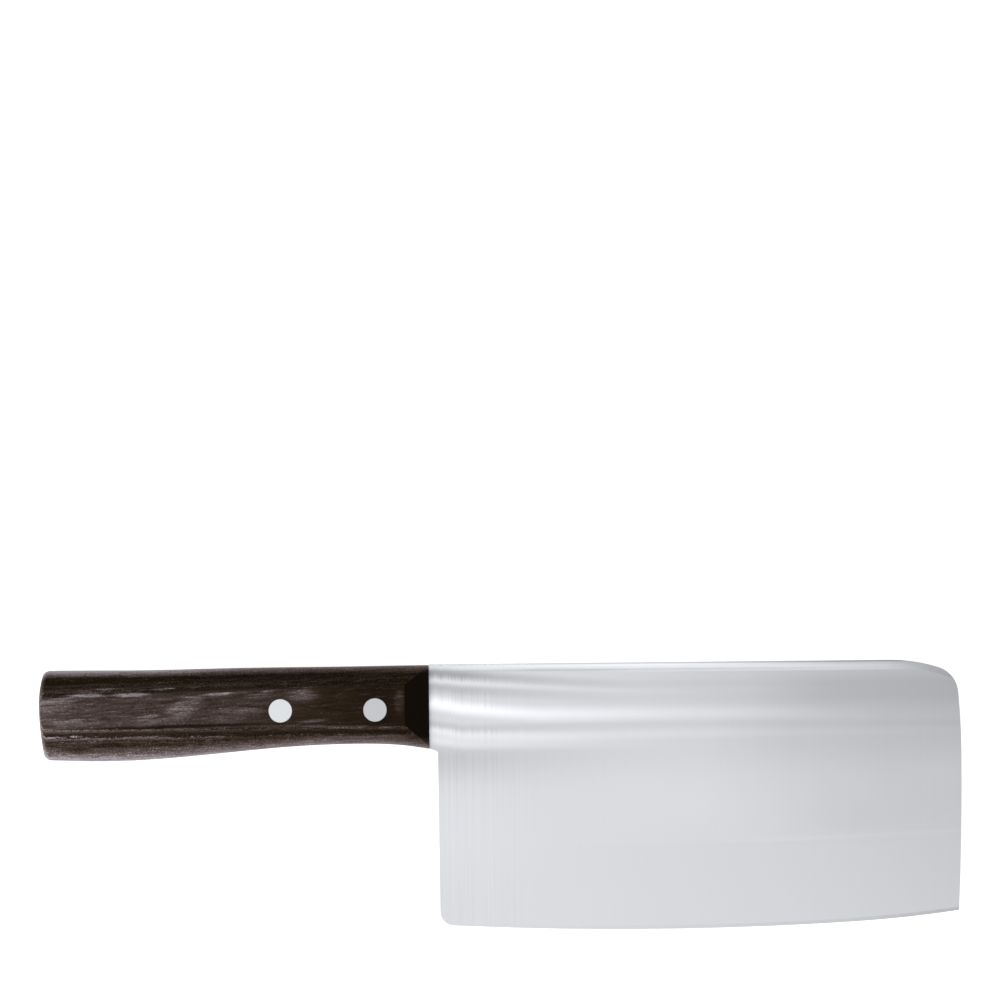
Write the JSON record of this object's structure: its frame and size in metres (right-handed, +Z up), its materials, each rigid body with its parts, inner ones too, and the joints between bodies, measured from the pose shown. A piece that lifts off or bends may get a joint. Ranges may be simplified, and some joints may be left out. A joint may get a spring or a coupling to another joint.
{
  "type": "cleaver",
  "caption": "Chinese vegetable cleaver: tall rectangular blade with rounded toe corner and curved edge, faceted dark laminated-wood handle with flush rivets.",
  "frame": {"origin": "middle of the side view's bounding box, at the level of the handle's lower side facet on which the knife lies", "axes": "+X along the knife from the butt to the toe, +Y from the cutting edge to the spine, +Z up out of the knife's side"},
  "size_m": [0.293, 0.0848, 0.02],
  "materials": {
    "blade_steel": "satin, fine lines from spine to edge",
    "dyed_laminated_wood": "dark brown-black laminated wood, satin",
    "slot_resin": "dark cured resin",
    "rivet_metal": "satin, ground flush with the wood"
  },
  "bodies": {
    "root": {"blade": "blade_steel", "handle": "dyed_laminated_wood", "slot_resin": "slot_resin", "front_rivet_post": "rivet_metal", "front_rivet_cap": "rivet_metal", "rear_rivet_post": "rivet_metal", "rear_rivet_cap": "rivet_metal"}
  },
  "joints": []
}
